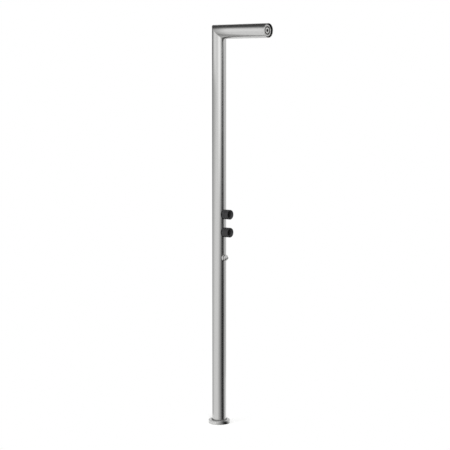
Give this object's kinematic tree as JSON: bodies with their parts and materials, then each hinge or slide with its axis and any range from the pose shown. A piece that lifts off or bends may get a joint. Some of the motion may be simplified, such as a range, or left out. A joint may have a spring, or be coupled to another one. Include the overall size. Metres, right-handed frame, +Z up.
{
  "type": "outdoor shower post",
  "caption": "Tall round tube post with a mitred horizontal arm and end nozzle, two turning knobs, a small side outlet and a sliding floor rosette.",
  "frame": {"origin": "on the post's axis at floor level, the centre of the bolt circle", "axes": "+Z up along the post; the arm, the knobs and the side outlet point along -Y"},
  "size_m": [0.122, 0.415, 2.276],
  "materials": {
    "brushed_stainless": "brushed",
    "brass": "machined",
    "pipe_steel": "drawn",
    "black_knob": "satin",
    "black_rubber": "matte",
    "disc_ceramic": "polished",
    "screw_steel": "plain",
    "nozzle_plastic": "metal-plated, satin"
  },
  "bodies": {
    "post": {"base_flange": "brushed_stainless", "post_tube": "brushed_stainless", "arm_tube": "brushed_stainless", "outlet_rosette": "brushed_stainless", "outlet_jet": "brushed_stainless", "nozzle_collar": "brushed_stainless", "inlet_fitting": "brass", "valve_body": "brass", "cartridges": "brass", "lock_nuts": "brass", "saddle_pads": "brass", "outlet_elbow": "brass", "supply_pipe": "pipe_steel", "outlet_pipe": "pipe_steel", "riser_pipe": "pipe_steel", "nozzle_seal": "black_rubber", "fixed_discs": "disc_ceramic", "nozzle_housing": "nozzle_plastic", "nozzle_core": "nozzle_plastic"},
    "rosette": {"cover_rosette": "brushed_stainless", "rosette_seal": "black_rubber"},
    "upper_knob_set": {"upper_knob": "black_knob", "upper_knob_screw": "screw_steel", "upper_spindle": "brass", "upper_moving_disc": "disc_ceramic"},
    "lower_knob_set": {"lower_knob": "black_knob", "lower_knob_screw": "screw_steel", "lower_spindle": "brass", "lower_moving_disc": "disc_ceramic"}
  },
  "joints": [
    {"name": "rosette_slide", "type": "slide", "parent": "post", "child": "rosette", "axis": [0, 0, 1], "range_m": [0, 0.12]},
    {"name": "upper_knob_turn", "type": "hinge", "parent": "post", "child": "upper_knob_set", "pos_m": [0, -0.061, 1.21], "axis": [0, -1, 0], "range_deg": [0, 90]},
    {"name": "lower_knob_turn", "type": "hinge", "parent": "post", "child": "lower_knob_set", "pos_m": [0, -0.061, 1.108], "axis": [0, -1, 0], "range_deg": [0, 90]}
  ]
}
